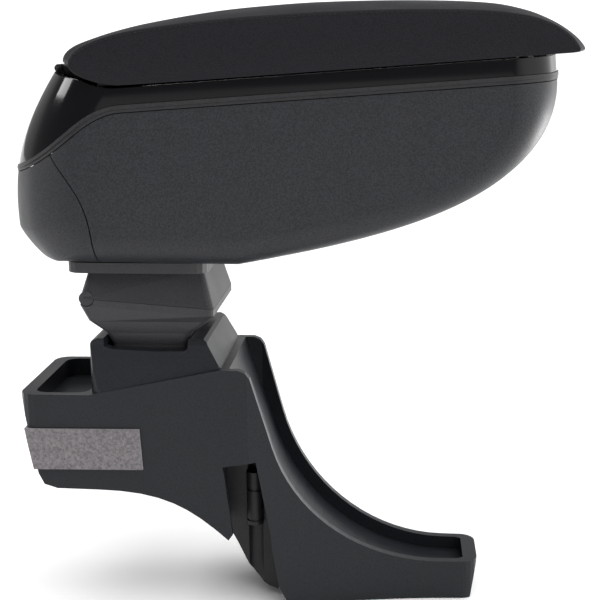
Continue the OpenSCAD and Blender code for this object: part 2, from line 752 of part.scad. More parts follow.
module slide_shoes()
    color(foam) in_box() for (s = [-1, 1]) for (x = [rail_x0 + 4, rail_x0 + 4 + shoe_pitch])
        translate([x, s * rail_y, 0]) difference() {
            translate([0, -6, shoe_v]) cube([shoe_len, 12, board_v - shoe_v]);
            translate([-1, -rail_top / 2 - slide_gap, rail_v + rail_rise - slide_gap])
                cube([shoe_len + 2, rail_top + 2 * slide_gap, rail_t + 2 * slide_gap]);
            translate([-1, -rail_web / 2 - slide_gap, rail_v + rail_t - slide_gap])
                cube([shoe_len + 2, rail_web + 2 * slide_gap, rail_rise - rail_t + 2 * slide_gap]);
        }

// Padded lid: board, foam and cover

lid_front = box_front + lid_overhang;
lid_rear = 41.8;
lid_cu = (lid_front - lid_rear) / 2;
lid_cv = 14;
lid_half_u = (lid_front + lid_rear) / 2;
half_lid = lid_w / 2;

function lid_outline(n) = concat(
    curve([[-lid_rear, 14.8], [-lid_rear, 24], [-28, 24.5], [-12, 28.5]], n),
    curve([[-12, 28.5], [35, lid_h + 1], [85, lid_h + 2], [135, lid_h - 1.5]], n),
    curve([[135, lid_h - 1.5], [165, lid_h - 3.2], [192, lid_h - 5], [208, lid_h - 8]], n),
    curve([[208, lid_h - 8], [lid_front - 26, lid_h - 12], [lid_front - 4, 10], [lid_front, 0.5]], n),
    [[lid_front, 0.5], [lid_front - 4, 0], [0, 0], [-11, 1.2]]);

// Rings of the lid from its middle to its side: width, end and top losses
lid_steps = [[0, 0, 0], [0.45, 1, 0.4], [0.75, 4, 1.6], [0.9, 9, 3.2], [0.97, 14, 6.2], [1, 19, 10]];
function lid_ring(s, step, flank, n) = [for (p = lid_outline(n)) [
    lid_cu + (p[0] - lid_cu) * (1 - (s + step[1]) / lid_half_u),
    flank * (half_lid - s) * step[0],
    p[1] > lid_cv ? lid_cv + (p[1] - lid_cv) * (1 - (s + step[2]) / (lid_h - lid_cv))
        : lid_cv + (p[1] - lid_cv) * (1 - s / lid_cv)]];

module lid_form(s, n = 6) {
    last = len(lid_steps) - 1;
    swell(concat([for (i = [last:-1:0]) lid_ring(s, lid_steps[i], -1, n)],
        [for (i = [1:last]) lid_ring(s, lid_steps[i], 1, n)]));
}

module lid_recess(grow = 0)
    across([[-30 - grow, board_v + grow], [lid_front - 17 + grow, board_v + grow],
        [lid_front - 17 + grow, -10], [-30 - grow, -10]], 2 * (half_lid - 7.5 + grow));

module cushion_board()
    color(dark_plastic) in_box() difference() {
        intersection() {
            lid_form(cover_t + 0.05);
            across([[-box_rear, board_v + board_t], [lid_front, board_v + board_t],
                [lid_front, -1], [-box_rear, -1]], lid_w);
        }
        lid_recess();
    }

module cushion_foam()
    color(foam) in_box() intersection() {
        lid_form(cover_t + 0.05);
        across([[-box_rear, board_v + board_t], [lid_front, board_v + board_t],
            [lid_front, lid_h + 5], [-box_rear, lid_h + 5]], lid_w);
    }

module cushion_cover()
    color(fabric) in_box() difference() {
        lid_form(0, 8);
        lid_form(cover_t);
        lid_recess();
    }

// Latch at the front of the lid

striker_u = box_front - 9.5;

module striker()
    color(dark_plastic) in_box()
        across([[striker_u + 1.5, carrier_v], [striker_u + 1.5, -7.5], [striker_u, -9], [striker_u - 2, -8.6],
            [striker_u - 2, -6.6], [striker_u - 0.5, -6.4], [striker_u - 0.5, carrier_v]], 12);

module latch_button()
    color(gloss) in_box() {
        translate([box_front - 4.5, -button_w / 2, button_v - button_h / 2]) cube([4, button_w, button_h]);
        for (s = [-1, 1]) translate([striker_u - 7, s * 10 - 1.5, button_v - button_h / 2])
            cube([box_front - 4.5 - striker_u + 7, 3, button_h]);
        translate([striker_u - 7, -8.5, button_v - 1]) cube([4.7, 17, 2.4]);
    }

// A compression spring along the button's travel
spring_r = 2.2;
wire_r = 0.3;
spring_turns = 6;
spring_x0 = mouth_u + wire_r;
spring_len = striker_u - 7 - mouth_u - 2 * wire_r;
function spring_ring(a, x0) = [for (k = [0:5]) [
    x0 + spring_len * a / (360 * spring_turns) + wire_r * sin(60 * k),
    (spring_r + wire_r * cos(60 * k)) * cos(a),
    (spring_r + wire_r * cos(60 * k)) * sin(a)]];

module button_spring()
    color(steel) in_box() translate([0, 0, button_v])
        skin([for (a = [0:30:360 * spring_turns]) spring_ring(a, spring_x0)]);

module lid_bumpers()
    color(rubber) in_box() for (s = [-1, 1]) translate([box_front - 16, s * 40, lip_v + 0.05])
        cylinder(r = 3, h = carrier_v - lip_v - 0.05);

base_body();
clamp_core();
clamp_sleeves();
felt_strip();
neck_lower();
lower_bracket();
neck_bolts();
neck_nuts();
tilt_pin();
friction_washers();
neck_upper();
upper_bracket();
bottom_plate();
head_bolts();
head_nuts();
outer_shell();
rear_cover();
trim_rim();
gloss_frame();
storage_tub();
hinge_leaf();
lid_pin();
lid_bumpers();
latch_button();
button_spring();
lid_carrier();
slide_rails();
striker();
cushion_board();
cushion_foam();
cushion_cover();
slide_shoes();
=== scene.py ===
"""Car centre armrest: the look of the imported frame, in metres."""
import json
import math

import bmesh
import bpy
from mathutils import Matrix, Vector
from mathutils.bvhtree import BVHTree


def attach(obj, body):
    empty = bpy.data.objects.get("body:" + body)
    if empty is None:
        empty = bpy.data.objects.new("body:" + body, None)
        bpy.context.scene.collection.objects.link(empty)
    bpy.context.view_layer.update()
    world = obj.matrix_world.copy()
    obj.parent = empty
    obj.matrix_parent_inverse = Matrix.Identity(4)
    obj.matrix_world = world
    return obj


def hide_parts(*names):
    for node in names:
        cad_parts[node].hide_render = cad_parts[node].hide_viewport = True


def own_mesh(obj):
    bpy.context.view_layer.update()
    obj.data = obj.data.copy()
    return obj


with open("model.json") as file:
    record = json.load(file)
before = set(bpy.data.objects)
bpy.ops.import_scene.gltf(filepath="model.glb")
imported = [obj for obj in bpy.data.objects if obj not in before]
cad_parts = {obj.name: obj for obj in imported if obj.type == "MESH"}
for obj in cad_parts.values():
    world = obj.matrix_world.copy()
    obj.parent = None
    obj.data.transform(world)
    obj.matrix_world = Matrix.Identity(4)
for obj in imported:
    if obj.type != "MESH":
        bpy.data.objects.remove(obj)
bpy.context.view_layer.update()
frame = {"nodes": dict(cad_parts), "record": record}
nodes = frame["nodes"]
MM = 0.001


def linked(name, data):
    """A new object with this data, in the scene."""
    obj = bpy.data.objects.new(name, data)
    bpy.context.scene.collection.objects.link(obj)
    return obj


# Camera, light and floor

CAMERA_AT = (0.007578, -0.700, 0.33169)
CAMERA_DOWN, CAMERA_TURN = 12.2, 2.5

cam_data = bpy.data.cameras.new("camera")
cam_data.lens, cam_data.sensor_width, cam_data.shift_x = 72, 36, -0.07
cam = linked("camera", cam_data)
cam.location = CAMERA_AT
cam.rotation_euler = (math.radians(90 - CAMERA_DOWN), 0, math.radians(CAMERA_TURN))
bpy.context.scene.camera = cam

# The studio lights the part from ahead and from its far side, and is dimmer overhead, at its rear
# and toward the camera. The camera itself sees a plain white backdrop in its place.
BACKDROP = 1.35
world = bpy.data.worlds.new("studio")
world.use_nodes = True
wn, wl = world.node_tree.nodes, world.node_tree.links
wn["Background"].inputs["Color"].default_value = (1, 1, 1, 1)
split = wn.new("ShaderNodeSeparateXYZ")
wl.new(wn.new("ShaderNodeTexCoord").outputs["Generated"], split.inputs["Vector"])


def ramp(ns, ls, source, low, high, a, b, interpolation="LINEAR"):
    """A value that goes from a to b as the source goes from low to high."""
    node = ns.new("ShaderNodeMapRange")
    node.interpolation_type = interpolation
    for key, value in (("From Min", low), ("From Max", high), ("To Min", a), ("To Max", b)):
        node.inputs[key].default_value = value
    ls.new(source, node.inputs["Value"])
    return node.outputs["Result"]


def reckoned(ns, ls, operation, a, b):
    """What a Math node makes of two values."""
    node = ns.new("ShaderNodeMath")
    node.operation = operation
    ls.new(a, node.inputs[0])
    ls.new(b, node.inputs[1])
    return node.outputs["Value"]


def sky_step(axis, low, high, a, b):
    """Brightness that turns softly from a to b along one axis of the sky."""
    return ramp(wn, wl, split.outputs[axis], low, high, a, b, "SMOOTHSTEP")


far_side = reckoned(wn, wl, "MULTIPLY", sky_step("Y", 0.1, 0.6, 0.3, 0.8),
                    sky_step("X", -0.5, -0.2, 0.12, 1.0))
around = reckoned(wn, wl, "MAXIMUM", sky_step("X", 0.1, 0.8, 0.3, 2.2), far_side)
studio = reckoned(wn, wl, "MULTIPLY", around, sky_step("Z", 0.1, 0.65, 1.0, 0.5))
backdrop = wn.new("ShaderNodeMix")
backdrop.inputs["B"].default_value = BACKDROP
wl.new(wn.new("ShaderNodeLightPath").outputs["Is Camera Ray"], backdrop.inputs["Factor"])
wl.new(studio, backdrop.inputs["A"])
wl.new(backdrop.outputs["Result"], wn["Background"].inputs["Strength"])
bpy.context.scene.world = world
bpy.context.scene.view_settings.view_transform = "Standard"


def area(name, at, aim, width, height, power):
    data = bpy.data.lights.new(name, "AREA")
    data.shape = "RECTANGLE"
    data.size, data.size_y, data.energy = width, height, power
    lamp = linked(name, data)
    lamp.location = at
    lamp.rotation_euler = (Vector(aim) - Vector(at)).to_track_quat("-Z", "Y").to_euler()


top = bpy.data.lights.new("top", "SUN")
top.energy, top.angle = 3.2, math.radians(90)
linked("top", top).rotation_euler = (math.radians(8), math.radians(14), 0)
area("nose_strip", (0.66, 0.36, 0.04), (0.10, 0, 0.27), width=0.6, height=0.2, power=4.5)
area("rear_softbox", (-1.15, -0.05, 0.79), (-0.19, -0.04, 0.3), width=0.42, height=0.34, power=6.0)

FLOOR_REACH, FLOOR_Z = 40, -0.0005
floor_mesh = bpy.data.meshes.new("floor")
floor_mesh.from_pydata([(x * FLOOR_REACH, y * FLOOR_REACH, FLOOR_Z)
                        for x, y in ((-1, -1), (1, -1), (1, 1), (-1, 1))], [], [(0, 1, 2, 3)])
floor = linked("floor", floor_mesh)


# Materials

GRAIN_DEPTH = 0.0001


def material(name, color, rough, metallic=0.0, spec=0.5):
    m = bpy.data.materials.new(name)
    m.use_nodes = True
    b = m.node_tree.nodes["Principled BSDF"]
    b.inputs["Base Color"].default_value = (*color, 1)
    b.inputs["Roughness"].default_value = rough
    b.inputs["Metallic"].default_value = metallic
    b.inputs["Specular IOR Level"].default_value = spec
    return m, m.node_tree.nodes, m.node_tree.links, b


def noise(ns, ls, scale, detail=3.0, rough=0.55):
    node = ns.new("ShaderNodeTexNoise")
    for key, value in (("Scale", scale), ("Detail", detail), ("Roughness", rough)):
        node.inputs[key].default_value = value
    ls.new(ns.new("ShaderNodeTexCoord").outputs["Object"], node.inputs["Vector"])
    return node.outputs["Fac"]


def uneven(ns, ls, shader, scale, detail, low, high):
    """Roughness that drifts between low and high."""
    ls.new(ramp(ns, ls, noise(ns, ls, scale, detail), 0.3, 0.7, low, high), shader.inputs["Roughness"])


def bumped(ns, ls, shader, height, strength, depth):
    node = ns.new("ShaderNodeBump")
    node.inputs["Strength"].default_value = strength
    node.inputs["Distance"].default_value = depth
    ls.new(height, node.inputs["Height"])
    ls.new(node.outputs["Normal"], shader.inputs["Normal"])


def two_tone(ns, ls, shader, factor, color, dark, light):
    """The colour times dark where the factor is 0, and times light where it is 1."""
    node = ns.new("ShaderNodeMix")
    node.data_type = "RGBA"
    node.inputs["A"].default_value = (*[c * dark for c in color], 1)
    node.inputs["B"].default_value = (*[c * light for c in color], 1)
    ls.new(factor, node.inputs["Factor"])
    ls.new(node.outputs["Result"], shader.inputs["Base Color"])


def grained(name, color, rough, scale, strength, spread=0.25, spec=0.5):
    """A fine grain in bump and colour, under a gloss that drifts a little."""
    m, ns, ls, b = material(name, color, rough, spec=spec)
    fine = noise(ns, ls, scale, 2.0)
    bumped(ns, ls, b, fine, strength, GRAIN_DEPTH)
    uneven(ns, ls, b, 22, 4.0, rough - 0.04, rough + 0.05)
    two_tone(ns, ls, b, ramp(ns, ls, fine, 0.36, 0.64, 0.0, 1.0), color, 1 - spread, 1 + spread)
    return m


def leatherette(name, color):
    """Small raised cells, with painted shade that darkens the creases between them and a painted highlight
    that lightens the cells.
    """
    m, ns, ls, b = material(name, color, 0.55, spec=0.09)
    cells = ns.new("ShaderNodeTexVoronoi")
    cells.feature = "DISTANCE_TO_EDGE"
    cells.inputs["Scale"].default_value = 900
    ls.new(ns.new("ShaderNodeTexCoord").outputs["Object"], cells.inputs["Vector"])
    edge = ramp(ns, ls, cells.outputs["Distance"], 0.0, 0.25, 0.0, 1.0)
    bumped(ns, ls, b, edge, 0.35, 0.00008)
    uneven(ns, ls, b, 30, 4.0, 0.5, 0.62)
    # Painted shade and highlight: the colour is darker in the creases and lighter on the raised cells.
    two_tone(ns, ls, b, edge, color, 0.72, 1.12)
    return m


def felt(name, color):
    """Fibres and small tufts, with a faint sheen."""
    m, ns, ls, b = material(name, color, 0.95, spec=0.2)
    b.inputs["Sheen Weight"].default_value = 0.3
    pile = reckoned(ns, ls, "ADD", noise(ns, ls, 1500, 5.0, 0.7), noise(ns, ls, 620, 3.0))
    bumped(ns, ls, b, pile, 0.8, 0.0004)
    two_tone(ns, ls, b, ramp(ns, ls, pile, 0.75, 1.25, 0.0, 1.0), color, 0.6, 1.45)
    return m


def brushed(name, color, rough):
    m, ns, ls, b = material(name, color, rough, metallic=1.0)
    uneven(ns, ls, b, 180, 3.0, rough - 0.08, rough + 0.1)
    return m


def plain(name, color, rough, scale, detail, spread, spec=0.5):
    """A smooth surface whose gloss drifts by the spread."""
    m, ns, ls, b = material(name, color, rough, spec=spec)
    uneven(ns, ls, b, scale, detail, rough - spread, rough + spread)
    return m


MAT = {
    "base_plastic": grained("base_plastic", (0.0125, 0.0138, 0.0165), 0.34, 1400, 0.25, spec=0.2),
    "dark_plastic": grained("dark_plastic", (0.010, 0.010, 0.012), 0.45, 1200, 0.2, spec=0.3),
    "neck_plastic": grained("neck_plastic", (0.024, 0.024, 0.027), 0.5, 1300, 0.3, spec=0.4),
    "grained_plastic": grained("grained_plastic", (0.0125, 0.0135, 0.0165), 0.46, 1300, 1.0, 0.6, spec=0.34),
    "trim_grey": grained("trim_grey", (0.0185, 0.0175, 0.0195), 0.42, 900, 0.15, spec=0.3),
    "gloss_black": plain("gloss_black", (0.003, 0.003, 0.004), 0.08, 9, 1.0, 0.02, spec=0.2),
    "leatherette": leatherette("leatherette", (0.0145, 0.0145, 0.0175)),
    "felt": felt("felt", (0.150, 0.138, 0.146)),
    "steel": brushed("steel", (0.5, 0.5, 0.5), 0.35),
    "foam": grained("foam", (0.5, 0.47, 0.38), 0.9, 400, 0.6),
    "nylon": grained("nylon", (0.55, 0.55, 0.52), 0.5, 500, 0.2),
    "rubber": grained("rubber", (0.016, 0.016, 0.016), 0.7, 500, 0.3),
}
thread = grained("thread", (0.016, 0.016, 0.018), 0.8, 3000, 0.6, spec=0.2)
black_steel = brushed("black_steel", (0.03, 0.03, 0.032), 0.45)
floor_mesh.materials.append(plain("floor", (0.9, 0.9, 0.9), 0.6, 3, 2.0, 0.05))

SLOTS = {s["node"]: s["material_slot"] for s in frame["record"]["subparts"]}
for name, obj in nodes.items():
    obj.data.materials.clear()
    obj.data.materials.append(MAT[SLOTS[name]])


# The box's own frame, u forward, y across and v up, in millimetres. All that follows is drawn in it.

TILT = math.radians(4.2)
COS, SIN = math.cos(TILT), math.sin(TILT)
BOX_X, BOX_Z = -139.5, 307.9855


def world_of(u, y, v):
    return ((BOX_X + u * COS - v * SIN) * MM, y * MM, (BOX_Z + u * SIN + v * COS) * MM)


def local(p):
    """A world point back in the box's own frame."""
    x, z = p[0] / MM - BOX_X, p[2] / MM - BOX_Z
    return x * COS + z * SIN, p[1] / MM, -x * SIN + z * COS


# Outlines, as lists of two numbers, and the solids between them

def bezier(p, n):
    """n points along a Bezier curve, without its last."""
    out = []
    for t in [i / n for i in range(n)]:
        weights = ((1 - t) ** 3, 3 * t * (1 - t) ** 2, 3 * t * t * (1 - t), t ** 3)
        out.append([sum(w * q[k] for w, q in zip(weights, p)) for k in (0, 1)])
    return out


def moved(line, du, dv):
    return [[u + du, v + dv] for u, v in line]


def rect(u0, v0, u1, v1):
    return [[u0, v0], [u1, v0], [u1, v1], [u0, v1]]


def circle(u, v, r, n):
    return [[u + r * math.cos(math.tau * i / n), v + r * math.sin(math.tau * i / n)] for i in range(n)]


def rounded(u0, u1, half, r):
    """A rectangle in plan with rounded corners."""
    corners = ((0, u1 - r, half - r), (90, u0 + r, half - r),
               (180, u0 + r, r - half), (270, u1 - r, r - half))
    return [[u + r * math.cos(math.radians(a + q)), y + r * math.sin(math.radians(a + q))]
            for a, u, y in corners for q in range(0, 91, 10)]


def closed(name, rings):
    """A closed mesh through rings of the same length, with an n-gon at each end."""
    n = len(rings[0])
    bm = bmesh.new()
    loops = [[bm.verts.new(world_of(*p)) for p in ring] for ring in rings]
    for a, b in zip(loops, loops[1:]):
        for i in range(n):
            j = (i + 1) % n
            bm.faces.new((a[i], a[j], b[j], b[i]))
    bm.faces.new(list(reversed(loops[0])))
    bm.faces.new(loops[-1])
    bmesh.ops.recalc_face_normals(bm, faces=bm.faces)
    mesh = bpy.data.meshes.new(name)
    bm.to_mesh(mesh)
    bm.free()
    return linked(name, mesh)


def upright(name, plan, v0, v1):
    """A plan of (u, y) points, from one height to another."""
    return closed(name, [[(u, y, v) for u, y in plan] for v in (v0, v1)])


def prism(name, outline, half):
    """A side outline of (u, v) points, as wide to the left as to the right."""
    return closed(name, [[(u, y, v) for u, v in outline] for y in (-half, half)])


def rod(name, at, ends, n=28):
    """A turned form across the box: (y, radius) pairs."""
    return closed(name, [[(u, y, v) for u, v in circle(*at, r, n)] for y, r in ends])


# What is done to a piece

WELD = 0.02


def baked(obj):
    """obj, with its modifiers turned into mesh."""
    mesh = bpy.data.meshes.new_from_object(obj.evaluated_get(bpy.context.evaluated_depsgraph_get()))
    obj.modifiers.clear()
    obj.data = mesh
    return obj


def applied(obj, other, operation):
    """obj, cut with or by another object, which is then deleted."""
    mod = obj.modifiers.new("cut", "BOOLEAN")
    mod.operation, mod.solver, mod.object = operation, "EXACT", other
    baked(obj)
    bpy.data.objects.remove(other)
    return obj


def cut(obj, other):
    return applied(obj, other, "DIFFERENCE")


def clipped(obj, other):
    return applied(obj, other, "INTERSECT")


def joined(obj, other):
    return applied(obj, other, "UNION")


def welded(obj):
    """obj, without the slivers that cutting leaves."""
    bm = bmesh.new()
    bm.from_mesh(obj.data)
    bmesh.ops.remove_doubles(bm, verts=bm.verts, dist=WELD * MM)
    bmesh.ops.dissolve_degenerate(bm, edges=bm.edges, dist=WELD * MM)
    bm.to_mesh(obj.data)
    bm.free()
    return obj


def softened(obj, width, segments=2, angle=35):
    """Rounds the hard edges with a bevel, and keeps the flat faces flat."""
    mod = obj.modifiers.new("soft_edges", "BEVEL")
    mod.width, mod.segments, mod.limit_method = width * MM, segments, "ANGLE"
    mod.angle_limit = math.radians(angle)
    mod.harden_normals = True
    mod.use_clamp_overlap = True
    return obj


def finish_piece(obj, body, slot, *replaced, mat=None, angle=30):
    """Shading, material (the slot's, unless another is given), body, and the CAD nodes that obj stands for.
    """
    for f in obj.data.polygons:
        f.use_smooth = True
    obj.data.set_sharp_from_angle(angle=math.radians(angle))
    obj.data.materials.clear()
    obj.data.materials.append(mat or MAT[slot])
    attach(obj, body)
    if replaced:
        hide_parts(*replaced)


# The box's form. Its panels are cut from it along the CAD's lines, and its ends are rounder in plan.

FRONT, REAR, DROP = 237.8, 78.4, 98.5
HALF, ROUND, WALL = 61, 16, 3
# The point that the form shrinks toward, and how far its skin is from there
CU, CV, HALF_U, HALF_V = 79.7, -45, (FRONT + REAR) / 2, 56
# Both ends of the box are round in plan: what they draw in by, per square millimetre of half width
REAR_DRAW, FRONT_DRAW = 0.0085, 0.0035
# Coarser forms that only cut: points to a curve, and steps round an edge
COARSE, HALF_FINE = (12, 6), (14, 6)


def under(u):
    """The height of the box's bottom, which is level in the world."""
    return -DROP - u * math.tan(TILT)


def box_outline(n):
    return (bezier([(-44.1, 13), (-69.9, -19), (-REAR, -41), (-REAR, -75)], n)
            + bezier([(-REAR, -75), (-REAR, under(-64) + 15.8), (-67.8, under(-64)), (-64, under(-64))], n)
            + bezier([(-64, under(-64)), (-26, under(-26)), (12, under(12)), (50, under(50))], n // 2)
            + bezier([(50, under(50)), (153, 6.2 - DROP), (FRONT, -74.4), (FRONT, -13)], 2 * n)
            + [[FRONT, -13], [FRONT - 1, 13]])


def box_ring(y, d, at, flank, n):
    """The outline at half width y, d inside the skin, its ends drawn in as they are at half width at."""
    ring = []
    for u, v in box_outline(n):
        draw = at * at * (REAR_DRAW if u < CU else FRONT_DRAW)
        ring.append((CU + (u - CU) * (1 - (d + draw) / HALF_U), flank * y, CV + (v - CV) * (1 - d / HALF_V)))
    return ring


def box_form(name, s, n=28, steps=12):
    """The box's form, s millimetres inside its skin: flat sides, rounded long edges, round ends."""
    cuts = [(HALF - s - ROUND * (1 - math.cos(a)), s + ROUND * (1 - math.sin(a)))
            for a in [math.pi / 2 * i / steps for i in range(steps + 1)]]
    cuts += [((HALF - s - ROUND) * (1 - i / steps), s) for i in range(1, steps)]
    return closed(name, [box_ring(y, d, y + s / 2, -1, n) for y, d in cuts] + [box_ring(0, s, s / 2, 1, n)]
                  + [box_ring(y, d, y + s / 2, 1, n) for y, d in reversed(cuts)])


# The lines between the panels, and how far they and the cutters reach past the box

AHEAD, BEHIND, BELOW, BESIDE = 300, -120, -140, HALF + 10
LIP_V, GLOSS_H, TRIM_H = -1, 8.7, 4.3
GLOSS_V, TRIM_V = LIP_V - GLOSS_H, LIP_V - GLOSS_H - TRIM_H
SEAM_TOP, SEAM_GAP = -44, 0.3
# The gaps above and below the trim strip, over the shell, and between the strip's two steps
LINE_GAP, SHELL_GAP, STEP_GAP = 0.2, 0.25, 0.05

gloss_line = ([[AHEAD, GLOSS_V]] + bezier([(0, GLOSS_V), (-26, GLOSS_V), (-38, -36), (-76, -41)], 24)
              + [[-76, -41], [BEHIND, -50]])
trim_line = ([[AHEAD, TRIM_V]] + bezier([(0, TRIM_V), (-24, TRIM_V), (-36, -40), (-77, -45)], 24)
             + [[-77, -45], [BEHIND, -54]])
# The step along the trim strip, a little nearer its lower edge
bead_line = [[p[0], 0.45 * p[1] + 0.55 * q[1]] for p, q in zip(gloss_line, trim_line)]
lip_line = ([[AHEAD, LIP_V], [0, LIP_V]] + bezier([(0, LIP_V), (-12, LIP_V), (-16, 3), (-22, 4.6)], 10)
            + [[-22, 4.6], [-46, 10.2], [BEHIND, 28]])
# Where the outer shell meets the rear cover
seam_line = (bezier([(SEAM_TOP, -30), (-36, -48), (-24, -54), (-23.5, -84)], 16)
             + [[-23.5, -84], [-22.8, BELOW]])


def band(upper, lower):
    """All that lies between two lines."""
    return prism("cutter", upper + list(reversed(lower)), BESIDE)


def beside_seam(end, gap):
    """All that lies on one end's side of the seam."""
    return prism("cutter", [[end, 0], [SEAM_TOP, 0]] + moved(seam_line, gap, 0) + [[end, BELOW]], BESIDE)


# The outer shell and the rear cover

below_trim = [[AHEAD, BELOW]] + moved(trim_line, 0, -SHELL_GAP) + [[BEHIND, BELOW]]
shell = clipped(box_form("box_shell", 0), prism("cutter", below_trim, BESIDE))
cover = linked("box_rear_cover", shell.data.copy())
for panel, node, end, gap in ((shell, "outer_shell", AHEAD, SEAM_GAP),
                              (cover, "rear_cover", BEHIND, -SEAM_GAP)):
    panel = cut(clipped(panel, beside_seam(end, gap)), box_form("inner", WALL, *COARSE))
    finish_piece(softened(welded(panel), 0.4), "head", "grained_plastic", node)

# The trim strip, in two steps that stand a little proud
trim_steps = (("box_trim", 0.7, moved(gloss_line, 0, -LINE_GAP), bead_line),
              ("box_trim_bead", 0.35, moved(bead_line, 0, -STEP_GAP), moved(trim_line, 0, LINE_GAP)))
for name, proud, upper, lower in trim_steps:
    trim = cut(clipped(box_form(name, -proud), band(upper, lower)), box_form("inner", WALL - 1, *COARSE))
    finish_piece(softened(welded(trim), 0.3), "head", "trim_grey", "trim_rim")

# The gloss frame, with its mouth, the button's opening, the striker's hole and the hinge's trough
BUTTON_W, BUTTON_H, BUTTON_V, BUTTON_GAP = 32, 6, -6.5, 0.4
MOUTH_U, MOUTH_INSET, LIP_H, STRIKER_U = 214.5, 8, 2, 231
PIVOT, KNUCKLE, TROUGH_GAP = (-43.5, 11.6), 2.3, 0.4
LEAF, ARM_Y, ARM_W = 14, 8, 7

hollow = cut(box_form("hollow", WALL, *COARSE), prism("cutter", rect(AHEAD, LIP_V, 0, LIP_V - LIP_H), HALF))
mouth = clipped(box_form("mouth", WALL + MOUTH_INSET, *COARSE),
                prism("cutter", rect(MOUTH_U, 20, -80, -20), HALF))
opening_v = BUTTON_H / 2 + BUTTON_GAP
button_opening = prism("cutter", rect(MOUTH_U, BUTTON_V - opening_v, MOUTH_U + 40, BUTTON_V + opening_v),
                       BUTTON_W / 2 + BUTTON_GAP)
striker_hole = prism("cutter", rect(STRIKER_U - 3, LIP_V - 3, STRIKER_U + 2.5, LIP_V + 3), 7)
hinge_trough = prism("cutter", circle(*PIVOT, KNUCKLE + TROUGH_GAP, 32), LEAF + 0.6)
gloss_frame = clipped(box_form("box_gloss_frame", 0), band(lip_line, gloss_line))
for room in (hollow, mouth, button_opening, striker_hole, hinge_trough):
    gloss_frame = cut(gloss_frame, room)
finish_piece(softened(welded(gloss_frame), 0.5, 3), "head", "gloss_black", "gloss_frame")


# Inside the box: the tub, the hinge, the lid's carrier and the button, kept clear of its walls

TUB_GAP, TUB_WALL, TUB_TOP, TUB_REAR, TUB_LOW = 3, 2, -3.1, -34, -80
tub = clipped(box_form("box_storage_tub", WALL + TUB_GAP),
              prism("cutter", rect(MOUTH_U, TUB_TOP, TUB_REAR, TUB_LOW), HALF))
tub_room = prism("cutter", rect(MOUTH_U - TUB_WALL, 10, TUB_REAR + TUB_WALL, TUB_LOW + TUB_WALL), HALF)
tub = cut(tub, clipped(box_form("room", WALL + TUB_GAP + TUB_WALL, *HALF_FINE), tub_room))
finish_piece(softened(welded(tub), 0.5), "head", "dark_plastic", "storage_tub")

PIN_R, PIN_TIP_R, BORE_R, BORE_HALF = 1.2, 0.7, 1.25, 60
ARM_GAP, CHAMFER = 0.3, 0.4
# How deep in the box's form the hinge leaf's two faces lie
LEAF_OUTER, LEAF_INNER = 5.4, 6.7


def rear_line(s):
    """The top of the box's rear, s millimetres inside its skin."""
    return [[CU + (u - CU) * (1 - s / HALF_U), CV + (v - CV) * (1 - s / HALF_V)]
            for u, v in box_outline(6)[:2]]


def knuckle(y0, y1):
    return rod("knuckle", PIVOT, [(y0, KNUCKLE - CHAMFER), (y0 + CHAMFER, KNUCKLE),
                                  (y1 - CHAMFER, KNUCKLE), (y1, KNUCKLE - CHAMFER)])


def bored(obj):
    """obj, with the bore for the hinge's pin."""
    return cut(obj, rod("cutter", PIVOT, [(-BORE_HALF, BORE_R), (BORE_HALF, BORE_R)]))


def arm_flanks(side, gap=0):
    """The two faces of the arm on one side, or of the room for it."""
    return side * ARM_Y - ARM_W / 2 - gap, side * ARM_Y + ARM_W / 2 + gap


left_arm, right_arm = arm_flanks(-1, ARM_GAP), arm_flanks(1, ARM_GAP)
leaf = prism("lid_hinge_leaf", [[PIVOT[0] + 0.2, PIVOT[1] - 2.6]] + rear_line(LEAF_OUTER)
             + list(reversed(rear_line(LEAF_INNER))) + [[PIVOT[0] + 2.2, PIVOT[1] - 1.4]], LEAF)
for y0, y1 in (left_arm, right_arm):
    leaf = cut(leaf, upright("cutter", rect(-60, y0, -37.5, y1), 5.5, 16))
for y0, y1 in ((-LEAF, left_arm[0]), (left_arm[1], right_arm[0]), (right_arm[1], LEAF)):
    leaf = joined(leaf, knuckle(y0, y1))
finish_piece(softened(welded(bored(leaf)), 0.2), "head", "steel", "hinge_leaf", mat=black_steel)
pin = rod("lid_hinge_pin", PIVOT, [(-LEAF - 0.5, PIN_TIP_R), (-LEAF - 0.2, PIN_R),
                                   (LEAF + 0.2, PIN_R), (LEAF + 0.5, PIN_TIP_R)])
finish_piece(pin, "head", "steel", "lid_pin", mat=black_steel)

# The lid's carrier: a plate with four round holes, and two arms to the hinge
CARRIER_LOW, CARRIER_TOP, HOLE_R = 0.6, 3.4, 12
carrier = upright("lid_frame", rounded(-16, 232.5, 51, 14), CARRIER_LOW, CARRIER_TOP)
for u in (40, 84, 128, 172):
    carrier = cut(carrier, upright("cutter", circle(u, 0, HOLE_R, 40), -2, 6))
arm_line = [[-10, CARRIER_LOW], [-18, CARRIER_LOW], [PIVOT[0] - 0.6, PIVOT[1] - 2.7],
            [PIVOT[0] + 1.2, PIVOT[1] + 2.3], [-30.5, 8.0], [-20, 5.0], [-10, CARRIER_TOP]]
for side in (-1, 1):
    arm = closed("arm", [[(u, y, v) for u, v in arm_line] for y in arm_flanks(side)])
    carrier = joined(carrier, joined(arm, knuckle(*arm_flanks(side))))
finish_piece(softened(welded(bored(carrier)), 0.3), "lid", "dark_plastic", "lid_carrier")

